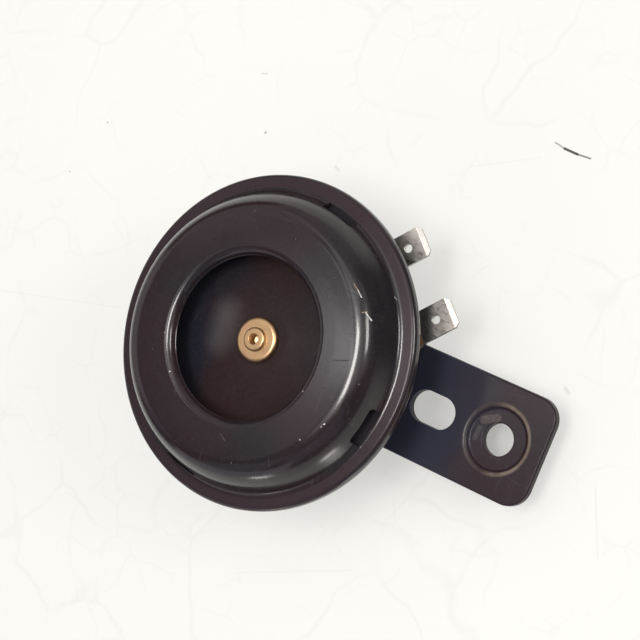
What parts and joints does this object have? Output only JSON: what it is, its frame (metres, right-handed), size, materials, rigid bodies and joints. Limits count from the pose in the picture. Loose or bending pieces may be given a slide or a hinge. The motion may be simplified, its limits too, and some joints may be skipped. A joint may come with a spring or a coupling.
{
  "type": "car horn",
  "caption": "Round electric disc horn: pressed bell front over a diaphragm and armature, blade terminals at the side, and a flat strap bracket with a bolt hole and a slot.",
  "frame": {"origin": "centre of the bracket's bolt hole, on the rear face that lies against the vehicle", "axes": "+Z is parallel to the horn's axis, towards its front; +X runs along the bracket, away from the horn, whose axis is at X = -45.6 mm"},
  "size_m": [0.0886, 0.066, 0.0357],
  "materials": {
    "black_painted_steel": "black electrocoat, satin gloss",
    "diaphragm_steel": "dark brown-black coated spring steel, satin",
    "gasket_paper": "plain gasket paper",
    "yellow_zinc": "yellow zinc plate, fine turned marks",
    "plain_steel": "bare steel",
    "bobbin_nylon": "natural nylon",
    "copper_wire": "enamelled copper wire",
    "phenolic": "brown phenolic board",
    "spring_bronze": "phosphor bronze strip",
    "contact_metal": "ground tungsten",
    "zinc_steel": "bright zinc plate",
    "tinned_terminal": "nickel-plated blade, bright edges",
    "lead_insulation": "thin insulated wire"
  },
  "bodies": {
    "bracket": {"bracket": "black_painted_steel"},
    "horn": {"rear_housing": "black_painted_steel", "front_cover": "black_painted_steel", "diaphragm": "diaphragm_steel", "front_gasket": "gasket_paper", "rear_gasket": "gasket_paper", "core_stud": "plain_steel", "pole_plate": "plain_steel", "coil_bobbin": "bobbin_nylon", "coil_winding": "copper_wire", "contact_insulator_block": "phenolic", "contact_insulator_spacer": "phenolic", "contact_leaf": "spring_bronze", "fixed_contact_plate": "spring_bronze", "fixed_contact": "contact_metal", "contact_rivet": "zinc_steel", "screw_bush": "zinc_steel", "terminal_upper": "tinned_terminal", "terminal_lower": "tinned_terminal", "terminal_insulator_outer": "phenolic", "terminal_insulator_inner": "phenolic", "terminal_rivets": "tinned_terminal", "lead_coil_to_terminal": "lead_insulation", "lead_coil_to_contact": "lead_insulation", "lead_contact_to_terminal": "lead_insulation", "lock_washer": "zinc_steel", "bracket_nut": "zinc_steel"},
    "armature": {"armature": "yellow_zinc", "armature_washer": "yellow_zinc", "armature_backing_washer": "plain_steel"},
    "moving_contact": {"moving_contact": "contact_metal"},
    "tone_screw": {"tone_screw": "zinc_steel"}
  },
  "joints": [
    {"name": "bracket_swivel", "type": "hinge", "parent": "bracket", "child": "horn", "pos_m": [-0.0456, 0, 0.0019], "axis": [0, 0, 1], "continuous": true},
    {"name": "armature_stroke", "type": "slide", "parent": "horn", "child": "armature", "axis": [0, 0, -1], "range_m": [0, 0.0005], "stiffness_N_per_m": 2000, "deforming": ["diaphragm", "contact_leaf"]},
    {"name": "contact_opening", "type": "slide", "parent": "horn", "child": "moving_contact", "axis": [0, 0, -1], "range_m": [0, 0.00015]},
    {"name": "tone_screw_turn", "type": "hinge", "parent": "horn", "child": "tone_screw", "pos_m": [-0.0674, -0.00793, 0.0109], "axis": [0, 0, -1], "range_deg": [-180, 180]}
  ],
  "couplings": [
    {"joint": "contact_opening", "follows": "armature_stroke", "ratio": 0.25}
  ]
}
